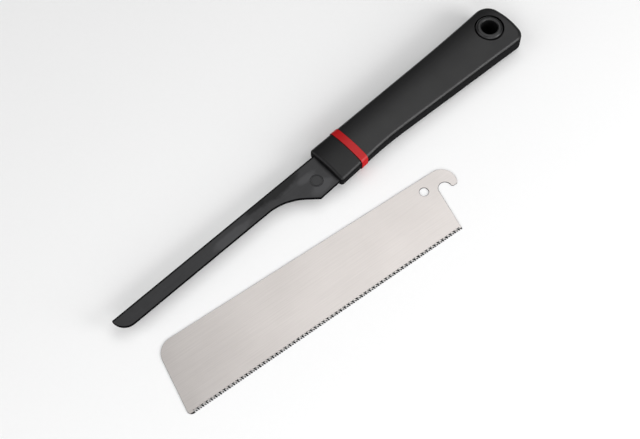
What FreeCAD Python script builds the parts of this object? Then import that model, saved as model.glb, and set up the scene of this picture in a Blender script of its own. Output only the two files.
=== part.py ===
import FreeCAD, Part
import os

import Sketcher

# Flush cut saw with its blade taken off: a folded steel spine in a moulded handle, and beside it
# the hooked blade that fits the spine. Millimetres. The origin is the centre of the hanging hole
# at the saw's mid-plane, +X runs to the spine's nose, +Y to the tooth side, and +Z is up from the
# surface on which the saw lies on its broad side.

os.makedirs("parts", exist_ok=True)
doc = FreeCAD.newDocument("flush_cut_saw")

SIZES = [
    # Handle, seen from above.
    ("handle_front_x", 131.25, "front face of the collar"),
    ("butt_tooth_x", -12.8, "where the butt's end arc meets the tooth side"),
    ("butt_back_x", -11.2, "where the butt's end arc meets the back side"),
    ("back_bend_x", 50.0, "where the back side turns from straight to hollow"),
    ("back_bend_y", -13.2, "back side of the handle there"),
    ("back_slope", 0.29, "degrees by which the back side falls away towards the collar"),
    ("back_radius", 1220.0, "hollow curve of the back side towards the butt"),
    ("handle_run_on", 12.0, "how far the outline runs on past the collar's face, cut off later"),
    ("waist_x", 93.7, "narrowest place of the tooth side"),
    ("waist_y", 11.54, "tooth side of the handle at its waist"),
    ("waist_radius", 230.0, "hollow curve of the tooth side"),
    ("grip_flare", 3.2, "degrees by which the tooth side swells towards the butt"),
    ("collar_flare", 2.9, "degrees by which the tooth side swells towards the collar's face"),
    ("butt_radius", 75.0, "end arc of the butt"),
    ("butt_back_radius", 9.0, "corner of the butt on the back side"),
    ("butt_tooth_radius", 5.9, "corner of the butt on the tooth side"),
    # Handle, section.
    ("front_thickness", 10.3, "handle over its crowns at the collar's face"),
    ("butt_thickness", 15.6, "handle over its crowns at the hanging hole"),
    ("crown_radius", 55.0, "crown of the broad faces"),
    ("crown_y", 0.0, "middle of the crown"),
    ("edge_radius", 2.8, "rounding of the handle's long edges"),
    ("collar_face_radius", 1.8, "rounding round the collar's front face"),
    # Collar, band and grip along the handle.
    ("collar_length", 15.8, "front collar"),
    ("band_width", 5.0, "red band"),
    ("band_proud", 0.4, "height of the band over its neighbours"),
    ("joint_gap", 0.1, "gap between collar, band and grip"),
    # Core inside the grip.
    ("grip_wall", 2.6, "side wall of the grip over the core"),
    ("core_thickness", 6.4, "both core halves together"),
    ("core_edge_radius", 1.6, "rounding of the core's long edges"),
    ("core_nose", 3.0, "length by which the core enters the collar"),
    ("fit_gap", 0.05, "clearance between parts that are pushed together"),
    # Hanging hole.
    ("hole_radius", 4.9, "bore of the hanging hole"),
    ("eyelet_radius", 8.0, "outside of the eyelet"),
    ("eyelet_height", 17.2, "eyelet over its two domed ends"),
    ("eyelet_inner_round", 0.8, "rounding from bore to crest"),
    ("eyelet_outer_round", 1.8, "rounding from crest to outside"),
    ("eyelet_groove", 0.8, "ring groove between eyelet and grip"),
    # Spine: one strip folded along its back, with a slot for the blade.
    ("sheet", 0.8, "steel of the spine"),
    ("slot", 0.7, "slot between the cheeks"),
    ("spine_reach", 146.3, "collar's face to the free end of the spine"),
    ("back_y", -10.83, "folded back edge"),
    ("spine_height", 9.2, "back edge to open edge"),
    ("nose_radius", 8.2, "sweep of the nose on the tooth side"),
    ("nose_back_radius", 0.7, "corner of the nose on the back side"),
    ("flare_reach", 42.15, "collar's face to where the flare to the heel begins"),
    ("flare_radius", 32.3, "hollow curve of the flare"),
    ("flare_angle", 41.0, "degrees turned by that curve"),
    ("heel_run", 6.2, "straight run from the flare to the heel corner, along X"),
    ("heel_drop", 0.9, "fall of the heel edge from its corner to the tang"),
    ("tang_length", 55.75, "collar's face to the rear end of the tang"),
    ("tang_width", 15.0, "tang in the core"),
    # Studs, pin, spacer and rivets.
    ("stud_reach", 9.35, "collar's face to the lock studs"),
    ("stud_y", 2.3, "lock studs"),
    ("stud_head_radius", 3.7, "head of a lock stud, pressed in the cheek"),
    ("stud_nose_radius", 2.5, "nose that enters the blade's hole"),
    ("stud_nose", 0.3, "reach of the nose into the slot"),
    ("stud_ring_radius", 2.95, "inside of the ring groove on the head"),
    ("stud_ring_width", 0.45, "ring groove on the head"),
    ("stud_ring_depth", 0.3, "ring groove on the head"),
    ("pin_radius", 2.5, "hook pin"),
    ("press_gap", 0.01, "clearance round studs, pin and rivets"),
    ("rivet_radius", 2.0, "shank of a tang rivet"),
    ("rivet_head_radius", 3.6, "head of a tang rivet"),
    ("rivet_head", 1.2, "thickness of a rivet's head"),
    ("rivet_front_depth", 23.75, "collar's face to the front tang rivet"),
    ("rivet_rear_depth", 47.75, "collar's face to the rear tang rivet"),
    ("spacer_end_gap", 2.0, "spacer ends short of shoulder and tang end"),
    ("spacer_side_gap", 1.0, "spacer ends short of the tang's sides"),
    # Blade, measured from its own hole: U to the tip, V to the teeth.
    ("blade_x", 98.2, "place of the blade's hole beside the saw"),
    ("blade_y", 45.24, "place of the blade's hole beside the saw"),
    ("blade_turn", -8.2, "degrees by which the blade lies turned"),
    ("blade_thickness", 0.5, "blade"),
    ("blade_hole_radius", 2.6, "hole for the lock studs"),
    ("blade_back", 7.5, "hole to the back edge"),
    ("tip_u", 173.0, "tip edge at the back edge"),
    ("tip_slope", 8.33, "degrees by which the tip edge leans out"),
    ("heel_lean", 8.45, "degrees by which the heel edge leans to the handle"),
    ("heel_v", 30.5, "heel end of the tooth line"),
    ("tooth_slope", 1.553, "degrees between tooth line and back edge"),
    ("tip_back_radius", 10.0, "corner of tip and back"),
    ("tip_tooth_radius", 2.5, "corner of tip and tooth line"),
    ("hook_radius", 8.6, "outside of the hook"),
    ("hook_u", -11.9, "centre of the hook's outside"),
    ("throat_radius", 3.9, "throat of the hook"),
    ("throat_u", -11.2, "centre of the throat"),
    ("throat_v", 4.9, "centre of the throat"),
    ("hook_end_v", 6.2, "end of the hook"),
    ("hook_end_radius", 1.2, "corners of the hook's end"),
    ("tooth_pitch", 1.41, "tooth to tooth"),
    ("tooth_depth", 1.9, "depth of a gullet"),
    ("gullet_width", 1.0, "mouth of a gullet at the tooth line"),
    ("gullet_lean", 0.65, "lean of a gullet towards the handle over its depth"),
    ("tooth_margin", 2.8, "tip corner to the first gullet"),
    # Limits and allowances of the drawing itself.
    ("rounding_share", 0.34, "share of a thickness that the rounding of its edges may take"),
    ("sweep_share", 0.99, "share of the spine's height that the corners of its nose may take"),
    ("run_out", 60.0, "how far cutting shapes reach past what they cut"),
]
# Places closer than this are the same place.
TOUCH = 1e-4

sheet = doc.addObject("Spreadsheet::Sheet", "sizes")
for row, (alias, number, meaning) in enumerate(SIZES, start=1):
    sheet.set("A%d" % row, meaning)
    sheet.set("B%d" % row, str(number))
    sheet.setAlias("B%d" % row, alias)
doc.recompute()

# Half thickness of the folded spine, and the places along the handle, as formulas of the sizes.
CHEEK = "(sizes.sheet + sizes.slot / 2)"
COLLAR_REAR = "(sizes.handle_front_x - sizes.collar_length)"
BAND_FRONT = "(%s - sizes.joint_gap)" % COLLAR_REAR
BAND_REAR = "(%s - sizes.band_width)" % BAND_FRONT
GRIP_FRONT = "(%s - sizes.joint_gap)" % BAND_REAR
CORE_FRONT = "(%s + sizes.core_nose)" % COLLAR_REAR

# A long edge is rounded no more than its side is high.
EDGE_ROUND = ("min(sizes.edge_radius; sizes.rounding_share * sizes.front_thickness;"
              " sizes.rounding_share * sizes.butt_thickness)")
CORE_ROUND = "min(sizes.core_edge_radius; sizes.rounding_share * sizes.core_thickness)"


def value(formula):
    """The number that a formula of the size table gives."""
    return float(sheet.evalExpression(formula))


def bound(target, **formulas):
    """Tie properties of an object to formulas; a double underscore in a name stands for a dot."""
    for key, formula in formulas.items():
        target.setExpression(key.replace("__", "."), formula)
    return target


# ---------------------------------------------------------------- sketches

def body_sketch(body, name, role="XY_Plane"):
    """A sketch on one of a body's own origin planes."""
    sketch = body.newObject("Sketcher::SketchObject", name)
    planes = [feature for feature in body.Origin.OriginFeatures if feature.Role == role]
    sketch.AttachmentSupport = [(planes[0], "")]
    sketch.MapMode = "FlatFace"
    return sketch


def measure(sketch, formula, kind, *references):
    """Give a sketch a dimension that follows a formula."""
    index = sketch.addConstraint(Sketcher.Constraint(kind, *references, value(formula)))
    sketch.setExpression("Constraints[%d]" % index, formula)


def outline(sketch, corners, bends=None):
    """Draw a closed outline.

    Each corner is a pair of formulas. A run from a corner to the next is straight, or an arc
    where bends gives the corner's number a radius formula, with the arc's centre on the left of
    the run if the radius comes with +1 and on the right with -1.
    """
    bends = bends or {}
    places = [FreeCAD.Vector(value(x), value(y), 0) for x, y in corners]
    starts = []
    ends = []
    for number, start in enumerate(places):
        end = places[(number + 1) % len(places)]
        if number in bends:
            formula, side = bends[number]
            radius = value(formula)
            chord = end - start
            left = FreeCAD.Vector(-chord.y, chord.x, 0).normalize() * side
            rise = (radius ** 2 - (chord.Length / 2) ** 2) ** 0.5
            centre = (start + end) / 2 + left * rise
            circle = Part.Circle(centre, FreeCAD.Vector(0, 0, 1), radius)
            first, last = (start, end) if side > 0 else (end, start)
            curve = Part.ArcOfCircle(circle, circle.parameter(first), circle.parameter(last))
            index = sketch.addGeometry(curve, False)
            measure(sketch, formula, "Radius", index)
            starts.append((index, 1 if side > 0 else 2))
            ends.append((index, 2 if side > 0 else 1))
        else:
            index = sketch.addGeometry(Part.LineSegment(start, end), False)
            starts.append((index, 1))
            ends.append((index, 2))
    for number, (x, y) in enumerate(corners):
        sketch.addConstraint(Sketcher.Constraint("Coincident", *ends[number - 1], *starts[number]))
        measure(sketch, x, "DistanceX", -1, 1, *starts[number])
        measure(sketch, y, "DistanceY", -1, 1, *starts[number])


def rectangle(sketch, low_x, high_x, low_y, high_y):
    """A rectangle between four formulas."""
    outline(sketch, [(low_x, low_y), (high_x, low_y), (high_x, high_y), (low_x, high_y)])


def circle_at(sketch, x, y, radius):
    """A circle whose centre and radius are formulas."""
    centre = FreeCAD.Vector(value(x), value(y), 0)
    curve = Part.Circle(centre, FreeCAD.Vector(0, 0, 1), value(radius))
    index = sketch.addGeometry(curve, False)
    measure(sketch, radius, "Radius", index)
    measure(sketch, x, "DistanceX", -1, 1, index, 3)
    measure(sketch, y, "DistanceY", -1, 1, index, 3)


# ---------------------------------------------------------------- features

def new_body(label):
    """A part of the saw that is built up feature by feature."""
    body = doc.addObject("PartDesign::Body", label)
    body.Label = label
    return body


def pad(body, sketch, thickness):
    """Pad a sketch up from its plane."""
    feature = body.newObject("PartDesign::Pad", sketch.Name + "_pad")
    feature.Profile = sketch
    feature.SideType = "One side"
    bound(feature, Length=thickness)
    doc.recompute()
    return feature


def pocket(body, sketch):
    """Cut a sketch right through a body, and make sure that it took material."""
    before = body.Shape.Volume
    feature = body.newObject("PartDesign::Pocket", sketch.Name + "_pocket")
    feature.Profile = sketch
    feature.SideType = "Symmetric"
    bound(feature, Length="sizes.run_out")
    doc.recompute()
    if not body.Shape.Volume < before:
        raise RuntimeError("%s cuts nothing" % feature.Name)
    return feature


def round_upright(body, name, corners, radius):
    """Round the upright edges that stand at the given corners of a body."""
    places = [FreeCAD.Vector(value(x), value(y), 0) for x, y in corners]
    chosen = []
    for number, edge in enumerate(body.Shape.Edges, start=1):
        feet = [FreeCAD.Vector(vertex.X, vertex.Y, 0) for vertex in edge.Vertexes]
        if any(all(foot.distanceToPoint(place) < TOUCH for foot in feet) for place in places):
            chosen.append("Edge%d" % number)
    before = body.Tip
    feature = body.newObject("PartDesign::Fillet", name)
    feature.Base = (before, chosen)
    bound(feature, Radius=radius)
    doc.recompute()


def box(name, low, high):
    """A box between two corners of three formulas each."""
    solid = doc.addObject("Part::Box", name)
    sides = ("Length", "Width", "Height")
    for side, axis, start, end in zip(sides, "xyz", low, high):
        solid.setExpression(side, "%s - (%s)" % (end, start))
        solid.setExpression("Placement.Base.%s" % axis, start)
    return solid


def cylinder(name, x, y, low, high, radius):
    """An upright cylinder between two heights."""
    solid = doc.addObject("Part::Cylinder", name)
    return bound(solid, Radius=radius, Height="%s - (%s)" % (high, low),
                 Placement__Base__x=x, Placement__Base__y=y, Placement__Base__z=low)


def fuse(name, *solids):
    """Several solids as one."""
    union = doc.addObject("Part::MultiFuse", name)
    union.Shapes = list(solids)
    return union


def common(name, *solids):
    """What several solids share."""
    shared = doc.addObject("Part::MultiCommon", name)
    shared.Shapes = list(solids)
    doc.recompute()
    return shared


def cut(name, base, tool):
    """A solid less another."""
    rest = doc.addObject("Part::Cut", name)
    rest.Base = base
    rest.Tool = tool
    return rest


def mirrored(name, solid):
    """A solid's mirror image in the saw's mid-plane."""
    image = doc.addObject("Part::Mirroring", name)
    image.Source = solid
    image.Normal = FreeCAD.Vector(0, 0, 1)
    return image


def rounded(name, base, groups):
    """A solid with groups of edges rounded: each group is edge numbers and a radius formula."""
    feature = doc.addObject("Part::Fillet", name)
    feature.Base = base
    feature.Edges = [(number, value(radius), value(radius))
                     for numbers, radius in groups for number in numbers]
    doc.recompute()
    return feature


# ---------------------------------------------------------------- handle forms

# Seen from above, the handle's outline runs on past the collar's face. Its tooth side is a line
# from the butt, a hollow arc round the waist and a line to the front, and its back side a shallow
# hollow arc from the butt and a line to the front, each tangent to the next.
FORM_FRONT = "(sizes.handle_front_x + sizes.handle_run_on)"
REAR_TANGENT_X = "(sizes.waist_x - sizes.waist_radius * sin(sizes.grip_flare))"
REAR_TANGENT_Y = "(sizes.waist_y + sizes.waist_radius * (1 - cos(sizes.grip_flare)))"
FRONT_TANGENT_X = "(sizes.waist_x + sizes.waist_radius * sin(sizes.collar_flare))"
FRONT_TANGENT_Y = "(sizes.waist_y + sizes.waist_radius * (1 - cos(sizes.collar_flare)))"
FRONT_TOOTH_Y = ("(%s + (%s - %s) * tan(sizes.collar_flare))"
                 % (FRONT_TANGENT_Y, FORM_FRONT, FRONT_TANGENT_X))
BUTT_TOOTH_Y = ("(%s + (%s - sizes.butt_tooth_x) * tan(sizes.grip_flare))"
                % (REAR_TANGENT_Y, REAR_TANGENT_X))
FORM_BACK_Y = ("(sizes.back_bend_y - (%s - sizes.back_bend_x) * tan(sizes.back_slope))"
               % FORM_FRONT)
BACK_RUN = "(sizes.butt_back_x - sizes.back_bend_x + sizes.back_radius * sin(sizes.back_slope))"
BUTT_BACK_Y = ("(sizes.back_bend_y - sizes.back_radius * cos(sizes.back_slope)"
               " + sqrt(sizes.back_radius ^ 2 - %s ^ 2))" % BACK_RUN)
TAPER = "atan((sizes.butt_thickness - sizes.front_thickness) / 2 / sizes.handle_front_x)"

handle_outline = doc.addObject("Sketcher::SketchObject", "handle_outline")
outline(handle_outline,
        [(FORM_FRONT, FORM_BACK_Y),
         (FORM_FRONT, FRONT_TOOTH_Y),
         (FRONT_TANGENT_X, FRONT_TANGENT_Y),
         (REAR_TANGENT_X, REAR_TANGENT_Y),
         ("sizes.butt_tooth_x", BUTT_TOOTH_Y),
         ("sizes.butt_back_x", BUTT_BACK_Y),
         ("sizes.back_bend_x", "sizes.back_bend_y")],
        {2: ("sizes.waist_radius", -1), 4: ("sizes.butt_radius", 1), 5: ("sizes.back_radius", -1)})
doc.recompute()


def is_upright(edge):
    """Whether an edge rises more than it runs."""
    heights = [point.z for point in edge.discretize(5)]
    return max(heights) - min(heights) > edge.Length / 2


def slab(name, growth, height):
    """The handle's outline, grown sideways, as a plate about the mid-plane with a round butt."""
    grown = handle_outline
    if value(growth):
        grown = doc.addObject("Part::Offset2D", name + "_outline")
        grown.Source = handle_outline
        grown.Join = "Intersection"
        bound(grown, Value=growth)
    plate = doc.addObject("Part::Extrusion", name + "_plate")
    plate.Base = grown
    plate.Solid = True
    plate.Symmetric = True
    plate.DirMode = "Custom"
    plate.Dir = FreeCAD.Vector(0, 0, 1)
    bound(plate, LengthFwd=height)
    doc.recompute()
    corners = [(edge.Vertexes[0].Y, number) for number, edge in enumerate(plate.Shape.Edges, start=1)
               if is_upright(edge) and edge.Vertexes[0].X < 0]
    back, tooth = min(corners)[1], max(corners)[1]
    return rounded(name + "_butt", plate, [([back], "sizes.butt_back_radius + (%s)" % growth),
                                           ([tooth], "sizes.butt_tooth_radius + (%s)" % growth)])


def round_rims(name, blank, radius):
    """Round the edges of a handle form's two broad faces, clear of its front end."""
    front = value("sizes.handle_front_x + sizes.handle_run_on / 2")
    rims = [number for number, edge in enumerate(blank.Shape.Edges, start=1)
            if not is_upright(edge) and min(vertex.X for vertex in edge.Vertexes) < front]
    return rounded(name, blank, [(rims, radius)])


def crowned_form(name, growth):
    """The handle's outside, grown all round: its outline, crowned faces and rounded edges."""
    plate = slab(name, growth, "sizes.run_out")
    start_x = "(-sizes.run_out)"
    crown = doc.addObject("Part::Cylinder", name + "_crown")
    crown.Placement.Rotation = FreeCAD.Rotation(FreeCAD.Vector(0, 1, 0), 90)
    bound(crown, Radius="sizes.crown_radius + (%s)" % growth,
          Height="%s - %s + sizes.run_out" % (FORM_FRONT, start_x),
          Placement__Rotation__Angle="90 deg + %s" % TAPER,
          Placement__Base__x=start_x,
          Placement__Base__y="sizes.crown_y",
          Placement__Base__z="sizes.butt_thickness / 2 - sizes.crown_radius - %s * tan(%s)"
                             % (start_x, TAPER))
    crown_below = mirrored(name + "_crown_below", crown)
    blank = common(name + "_blank", plate, crown, crown_below)
    return round_rims(name, blank, EDGE_ROUND + " + (%s)" % growth)


def core_form(name, growth):
    """The core's outside, grown all round: flat faces and rounded edges inside the grip."""
    blank = slab(name, "%s - sizes.grip_wall" % growth, "sizes.core_thickness + 2 * (%s)" % growth)
    return round_rims(name, blank, CORE_ROUND + " + (%s)" % growth)


def length_of(name, form, rear, front):
    """A handle form between two places along X."""
    low = (rear, "-sizes.run_out", "-sizes.run_out")
    high = (front, "sizes.run_out", "sizes.run_out")
    return common(name, form, box(name + "_stretch", low, high))


handle_form = crowned_form("handle_form", "0")
band_form = crowned_form("band_form", "sizes.band_proud")
core_outside = core_form("core_outside", "0")
core_hollow = core_form("core_hollow", "sizes.fit_gap")

# ---------------------------------------------------------------- spine

# The folded strip: a U section along X, trimmed to its outline. The run from the nose is straight
# to the flare, an arc, the straight run to the heel's corner and the heel's edge into the collar.
NOSE_X = "(sizes.handle_front_x + sizes.spine_reach)"
TANG_X = "(sizes.handle_front_x - sizes.tang_length)"
STUD_X = "(sizes.handle_front_x + sizes.stud_reach)"
OPEN_Y = "(sizes.back_y + sizes.spine_height)"
NOSE_SWEEP = ("min(sizes.nose_radius;"
              " sizes.sweep_share * sizes.spine_height - sizes.nose_back_radius)")
FLARE_X = "(sizes.handle_front_x + sizes.flare_reach)"
FLARE_END_X = "(%s - sizes.flare_radius * sin(sizes.flare_angle))" % FLARE_X
FLARE_END_Y = "(%s + sizes.flare_radius * (1 - cos(sizes.flare_angle)))" % OPEN_Y
HEEL_X = "(%s - sizes.heel_run)" % FLARE_END_X
HEEL_Y = "(%s + sizes.heel_run * tan(sizes.flare_angle))" % FLARE_END_Y
SHOULDER_X = "(%s + sizes.joint_gap)" % CORE_FRONT
SHOULDER_Y = "(%s - sizes.heel_drop)" % HEEL_Y
FOLD_Y = "(sizes.back_y + %s)" % CHEEK
HALF_TANG = "(sizes.tang_width / 2)"
HALF_SLOT = "(sizes.slot / 2)"

# The blade's hook goes round the pin while its hole sits on the studs, so the pin stands where the
# hook's throat then is, against the side that pulls.
PIN_X = ("(%s + sizes.throat_u - sizes.throat_radius + sizes.pin_radius"
         " + sizes.fit_gap)" % STUD_X)
PIN_Y = "(sizes.stud_y + sizes.throat_v)"
RIVETS = {"tang_rivet_front": "(sizes.handle_front_x - sizes.rivet_front_depth)",
          "tang_rivet_rear": "(sizes.handle_front_x - sizes.rivet_rear_depth)"}


def make_spine():
    """One strip of steel folded along its back, with a flared heel and a tang."""
    body = new_body("spine")
    section = body_sketch(body, "spine_section", "YZ_Plane")
    bound(section, AttachmentOffset__Base__z=TANG_X)
    far = "(%s + %s)" % (HEEL_Y, CHEEK)
    outline(section,
            [(far, CHEEK), (FOLD_Y, CHEEK), ("sizes.back_y", "0"), (FOLD_Y, "-" + CHEEK),
             (far, "-" + CHEEK), (far, "-" + HALF_SLOT), (FOLD_Y, "-" + HALF_SLOT),
             ("%s - %s" % (FOLD_Y, HALF_SLOT), "0"), (FOLD_Y, HALF_SLOT), (far, HALF_SLOT)],
            {1: (CHEEK, 1), 2: (CHEEK, 1), 6: (HALF_SLOT, -1), 7: (HALF_SLOT, -1)})
    pad(body, section, "%s - %s" % (NOSE_X, TANG_X))
    plan = body_sketch(body, "spine_plan")
    outline(plan,
            [("%s - sizes.nose_back_radius" % NOSE_X, "sizes.back_y"),
             (NOSE_X, "sizes.back_y + sizes.nose_back_radius"),
             (NOSE_X, "%s - %s" % (OPEN_Y, NOSE_SWEEP)),
             ("%s - %s" % (NOSE_X, NOSE_SWEEP), OPEN_Y),
             (FLARE_X, OPEN_Y), (FLARE_END_X, FLARE_END_Y), (HEEL_X, HEEL_Y),
             (SHOULDER_X, SHOULDER_Y), (SHOULDER_X, HALF_TANG), (TANG_X, HALF_TANG),
             (TANG_X, "-" + HALF_TANG), (SHOULDER_X, "-" + HALF_TANG),
             (SHOULDER_X, "sizes.back_y")],
            {0: ("sizes.nose_back_radius", 1), 2: (NOSE_SWEEP, 1), 4: ("sizes.flare_radius", -1)})
    rectangle(plan, TANG_X + " - sizes.run_out", NOSE_X + " + sizes.run_out",
              "sizes.back_y - sizes.run_out", "%s + sizes.run_out" % HEEL_Y)
    pocket(body, plan)
    holes = body_sketch(body, "spine_holes")
    circle_at(holes, STUD_X, "sizes.stud_y", "sizes.stud_head_radius + sizes.press_gap")
    circle_at(holes, PIN_X, PIN_Y, "sizes.pin_radius + sizes.press_gap")
    for rivet_x in RIVETS.values():
        circle_at(holes, rivet_x, "0", "sizes.rivet_radius + sizes.press_gap")
    pocket(body, holes)
    return body


spine = make_spine()


def turned(body, profile, bends=None):
    """Turn a profile of radius and height formulas about the body's upright axis."""
    sketch = body_sketch(body, body.Name + "_profile", "XZ_Plane")
    outline(sketch, profile, bends)
    feature = body.newObject("PartDesign::Revolution", body.Name + "_turned")
    feature.Profile = sketch
    feature.ReferenceAxis = (sketch, ["V_Axis"])
    feature.Angle = 360
    doc.recompute()
    return body


def make_stud(label, flip):
    """A lock stud: a head in the cheek, its ring groove, and the nose for the blade's hole."""
    ring_floor = "%s - sizes.stud_ring_depth" % CHEEK
    ring_outside = "sizes.stud_ring_radius + sizes.stud_ring_width"
    body = turned(new_body(label),
                  [("0", "%s - sizes.stud_nose" % HALF_SLOT),
                   ("sizes.stud_nose_radius", "%s - sizes.stud_nose" % HALF_SLOT),
                   ("sizes.stud_nose_radius", HALF_SLOT),
                   ("sizes.stud_head_radius", HALF_SLOT),
                   ("sizes.stud_head_radius", CHEEK),
                   (ring_outside, CHEEK), (ring_outside, ring_floor),
                   ("sizes.stud_ring_radius", ring_floor), ("sizes.stud_ring_radius", CHEEK),
                   ("0", CHEEK)])
    body.Placement.Rotation = FreeCAD.Rotation(FreeCAD.Vector(1, 0, 0), flip)
    return bound(body, Placement__Base__x=STUD_X, Placement__Base__y="sizes.stud_y")


def make_rivet(label, place):
    """A tang rivet with a flat head let into each core half."""
    half = "(sizes.core_thickness / 2)"
    seat = "(%s - sizes.rivet_head)" % half
    body = turned(new_body(label),
                  [("0", "-" + half), ("sizes.rivet_head_radius", "-" + half),
                   ("sizes.rivet_head_radius", "-" + seat), ("sizes.rivet_radius", "-" + seat),
                   ("sizes.rivet_radius", seat), ("sizes.rivet_head_radius", seat),
                   ("sizes.rivet_head_radius", half), ("0", half)])
    return bound(body, Placement__Base__x=place)


lock_stud_upper = make_stud("lock_stud_upper", 0)
lock_stud_lower = make_stud("lock_stud_lower", 180)
rivets = [make_rivet(label, place) for label, place in RIVETS.items()]
hook_pin = cylinder("hook_pin", PIN_X, PIN_Y, "-" + CHEEK, CHEEK, "sizes.pin_radius")

# The spacer fills the slot between the tang's cheeks, where the rivets would pinch it shut.
spacer_plate = box("spacer_plate",
                   ("%s + sizes.spacer_end_gap" % TANG_X,
                    "-%s + sizes.spacer_side_gap" % HALF_TANG, "-%s + sizes.press_gap" % HALF_SLOT),
                   ("%s - sizes.spacer_end_gap" % SHOULDER_X,
                    "%s - sizes.spacer_side_gap" % HALF_TANG, "%s - sizes.press_gap" % HALF_SLOT))
spacer_holes = fuse("spacer_holes", *[
    cylinder(label + "_in_spacer", place, "0", "-" + CHEEK, CHEEK,
             "sizes.rivet_radius + sizes.press_gap")
    for label, place in RIVETS.items()])
tang_spacer = cut("tang_spacer", spacer_plate, spacer_holes)

# ---------------------------------------------------------------- core

HALF_CORE = "(sizes.core_thickness / 2)"
TANG_SEAT = "(%s + sizes.fit_gap)" % CHEEK


def make_core_upper():
    """The upper core half: a recess for the tang, the rivets' seats and the eyelet's hole."""
    half = common("core_half", length_of("core_length", core_outside, "-sizes.run_out", CORE_FRONT),
                  box("core_above", ("-sizes.run_out", "-sizes.run_out", "0"),
                      (FORM_FRONT, "sizes.run_out", "sizes.run_out")))
    tools = [box("tang_recess",
                 ("%s - sizes.fit_gap" % TANG_X, "-%s - sizes.fit_gap" % HALF_TANG, "-%s" % CHEEK),
                 (FORM_FRONT, "%s + sizes.fit_gap" % HALF_TANG, TANG_SEAT)),
             cylinder("core_eyelet_hole", "0", "0", "-" + HALF_CORE, "2 * %s" % HALF_CORE,
                      "sizes.eyelet_radius + sizes.fit_gap")]
    for label, place in RIVETS.items():
        tools.append(cylinder(label + "_bore", place, "0", "-" + HALF_CORE, "2 * %s" % HALF_CORE,
                              "sizes.rivet_radius + sizes.fit_gap"))
        tools.append(cylinder(label + "_seat", place, "0",
                              "%s - sizes.rivet_head - sizes.press_gap" % HALF_CORE,
                              "2 * %s" % HALF_CORE, "sizes.rivet_head_radius + sizes.fit_gap"))
    return cut("core_upper", half, fuse("core_cuts", *tools))


core_upper = make_core_upper()
core_lower = mirrored("core_lower", core_upper)

# ---------------------------------------------------------------- collar, band, grip and eyelet


def make_collar():
    """The front collar: rounded face, a slot for the spine and a recess for the core's nose."""
    blank = length_of("collar_blank", handle_form, COLLAR_REAR, "sizes.handle_front_x")
    face_x = value("sizes.handle_front_x")
    face = [number for number, edge in enumerate(blank.Shape.Edges, start=1)
            if all(abs(point.x - face_x) < TOUCH for point in edge.discretize(5))]
    block = rounded("collar_block", blank, [(face, "sizes.collar_face_radius")])
    edge_y = ("(%s - sizes.heel_drop * (%s - sizes.handle_front_x) / (%s - %s) + sizes.fit_gap)"
              % (HEEL_Y, HEEL_X, HEEL_X, SHOULDER_X))
    slot = box("collar_slot",
               ("%s - sizes.core_nose" % CORE_FRONT, "sizes.back_y - sizes.fit_gap",
                "-" + TANG_SEAT),
               (FORM_FRONT, edge_y, TANG_SEAT))
    recess = length_of("collar_recess", core_hollow, "-sizes.run_out",
                       "%s + sizes.fit_gap" % CORE_FRONT)
    return cut("front_collar", block, fuse("collar_cuts", slot, recess))


def make_eyelet():
    """The bush through the butt, with its ends domed from bore to outside."""
    crest = "(sizes.eyelet_height / 2)"
    bore_end = "(%s - sizes.eyelet_inner_round)" % crest
    side_end = "(%s - sizes.eyelet_outer_round)" % crest
    inner = "(sizes.hole_radius + sizes.eyelet_inner_round)"
    outer = "(sizes.eyelet_radius - sizes.eyelet_outer_round)"
    return turned(new_body("hanger_eyelet"),
                  [("sizes.hole_radius", "-" + bore_end), (inner, "-" + crest),
                   (outer, "-" + crest), ("sizes.eyelet_radius", "-" + side_end),
                   ("sizes.eyelet_radius", side_end), (outer, crest), (inner, crest),
                   ("sizes.hole_radius", bore_end)],
                  {0: ("sizes.eyelet_inner_round", 1), 2: ("sizes.eyelet_outer_round", 1),
                   4: ("sizes.eyelet_outer_round", 1), 6: ("sizes.eyelet_inner_round", 1)})


front_collar = make_collar()
hanger_eyelet = make_eyelet()
red_band = cut("red_band", length_of("band_blank", band_form, BAND_REAR, BAND_FRONT), core_hollow)
grip_groove = cylinder("grip_groove", "0", "0", "-sizes.run_out", "sizes.run_out",
                       "sizes.eyelet_radius + sizes.eyelet_groove")
grip_sleeve = cut("grip_sleeve", length_of("grip_blank", handle_form, "-sizes.run_out", GRIP_FRONT),
                  fuse("grip_cuts", core_hollow, grip_groove))

# ---------------------------------------------------------------- blade

# U runs from the blade's hole to its tip and V to its teeth. Tip edge and tooth line meet in a
# corner, and the heel's edge is tangent to the throat of the hook.
TIP_LEAN = "tan(sizes.tip_slope)"
TOOTH_LEAN = "tan(sizes.tooth_slope)"
THROAT_END_U = "(sizes.throat_u + sizes.throat_radius * cos(sizes.heel_lean))"
THROAT_END_V = "(sizes.throat_v - sizes.throat_radius * sin(sizes.heel_lean))"
HEEL_U = "(%s + (sizes.heel_v - %s) * tan(sizes.heel_lean))" % (THROAT_END_U, THROAT_END_V)
TIP_V = ("((sizes.heel_v + (sizes.tip_u + sizes.blade_back * %s - %s) * %s) / (1 - %s * %s))"
         % (TIP_LEAN, HEEL_U, TOOTH_LEAN, TIP_LEAN, TOOTH_LEAN))
TIP_U = "(sizes.tip_u + (%s + sizes.blade_back) * %s)" % (TIP_V, TIP_LEAN)
HOOK_V = "(sizes.hook_radius - sizes.blade_back)"
HOOK_INNER_U = ("(sizes.throat_u - sqrt(sizes.throat_radius ^ 2"
                " - (sizes.hook_end_v - sizes.throat_v) ^ 2))")
HOOK_OUTER_U = ("(sizes.hook_u - sqrt(sizes.hook_radius ^ 2 - (sizes.hook_end_v - %s) ^ 2))"
                % HOOK_V)
TOOTH_LINE = "((%s - %s) / cos(sizes.tooth_slope))" % (TIP_U, HEEL_U)
TEETH = "floor((%s - sizes.tooth_margin) / sizes.tooth_pitch)" % TOOTH_LINE


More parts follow.
